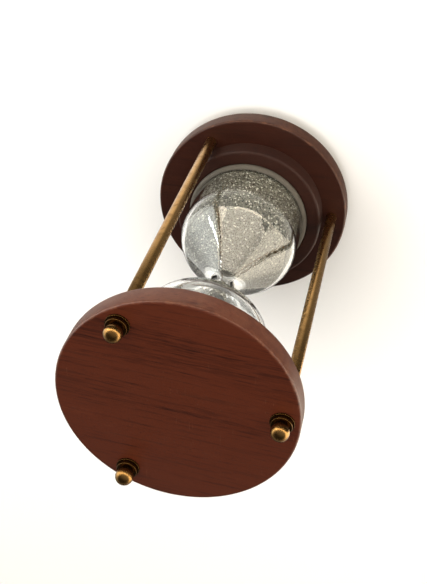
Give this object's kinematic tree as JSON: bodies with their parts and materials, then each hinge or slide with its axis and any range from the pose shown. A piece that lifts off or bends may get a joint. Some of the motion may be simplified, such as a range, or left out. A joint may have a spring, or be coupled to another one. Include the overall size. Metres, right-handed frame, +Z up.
{
  "type": "hourglass",
  "caption": "Sealed two-bulb glass with sand, held between turned dark wood discs by brass posts with ball nuts that serve as feet at either end.",
  "frame": {"origin": "on the surface it stands on, under the centre line of the glass", "axes": "+Z up along the glass, from the foot balls to the cap balls; post 1 stands on +Y"},
  "size_m": [0.084, 0.084, 0.1606],
  "materials": {
    "dark_wood": "satin varnish",
    "brass": "polished, lightly tarnished",
    "clear_glass": "blown, clear",
    "sand": "fine metallic grains",
    "packing": "soft, matt",
    "felt": "felt"
  },
  "bodies": {
    "root": {"bottom_disc": "dark_wood", "top_disc": "dark_wood", "bottom_seat": "dark_wood", "top_seat": "dark_wood", "bottom_pad": "felt", "top_pad": "felt", "bottom_packing": "packing", "top_packing": "packing", "glass_bulb": "clear_glass", "sand_lower": "sand", "sand_upper": "sand", "post_1": "brass", "post_2": "brass", "post_3": "brass", "foot_washer_1": "brass", "foot_washer_2": "brass", "foot_washer_3": "brass", "foot_ball_1": "brass", "foot_ball_2": "brass", "foot_ball_3": "brass", "cap_washer_1": "brass", "cap_washer_2": "brass", "cap_washer_3": "brass", "cap_ball_1": "brass", "cap_ball_2": "brass", "cap_ball_3": "brass"}
  },
  "joints": []
}
